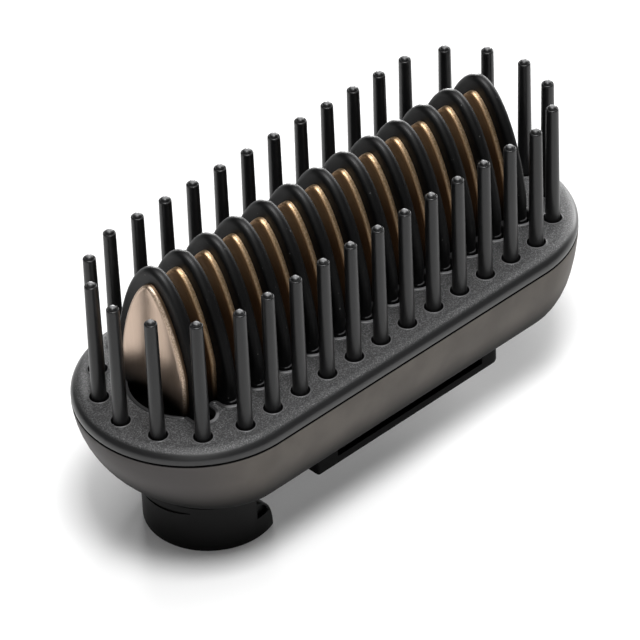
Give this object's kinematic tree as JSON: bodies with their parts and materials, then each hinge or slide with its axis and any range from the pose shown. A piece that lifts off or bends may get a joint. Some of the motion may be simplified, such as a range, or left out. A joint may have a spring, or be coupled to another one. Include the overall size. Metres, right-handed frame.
{
  "type": "hot air styler brush head",
  "caption": "Long hot air styler head: boat-shaped shell with an air collar and rail beneath, and a slotted deck with arched guard fins, bare metal plates and a ring of round pins.",
  "frame": {"origin": "under the middle of the housing, on the plane of the air collar's rim", "axes": "+X along the head, away from the air collar; +Y across the head; +Z square to the deck, along the pins and fins towards the hair"},
  "size_m": [0.1334, 0.053, 0.0717],
  "materials": {
    "shell": "warm dark grey satin with a slight metallic sheen",
    "cover": "black with a fine grain and a smooth edge",
    "pins": "black satin with small glossy domed tips",
    "rack": "black moulded, inside the head",
    "collar": "black satin",
    "rail": "black satin",
    "fins": "black, smooth and softly rounded",
    "plates": "champagne anodised, finely brushed",
    "screws": "plain steel"
  },
  "bodies": {
    "root": {"lower_shell": "shell", "top_cover": "cover", "front_pin_comb": "pins", "rear_pin_comb": "pins", "left_pin_comb": "pins", "right_pin_comb": "pins", "fin_rack": "rack", "inlet_collar": "collar", "mount_rail": "rail", "rack_screw_1": "screws", "rack_screw_2": "screws", "rack_screw_3": "screws", "rack_screw_4": "screws", "guard_fin_01": "fins", "heat_plate_01": "plates", "guard_fin_02": "fins", "heat_plate_02": "plates", "guard_fin_03": "fins", "heat_plate_03": "plates", "guard_fin_04": "fins", "heat_plate_04": "plates", "guard_fin_05": "fins", "heat_plate_05": "plates", "guard_fin_06": "fins", "heat_plate_06": "plates", "guard_fin_07": "fins", "heat_plate_07": "plates", "guard_fin_08": "fins", "heat_plate_08": "plates", "guard_fin_09": "fins", "heat_plate_09": "plates", "guard_fin_10": "fins", "heat_plate_10": "plates", "guard_fin_11": "fins", "heat_plate_11": "plates", "guard_fin_12": "fins", "heat_plate_12": "plates", "guard_fin_13": "fins", "heat_plate_13": "plates"}
  },
  "joints": []
}
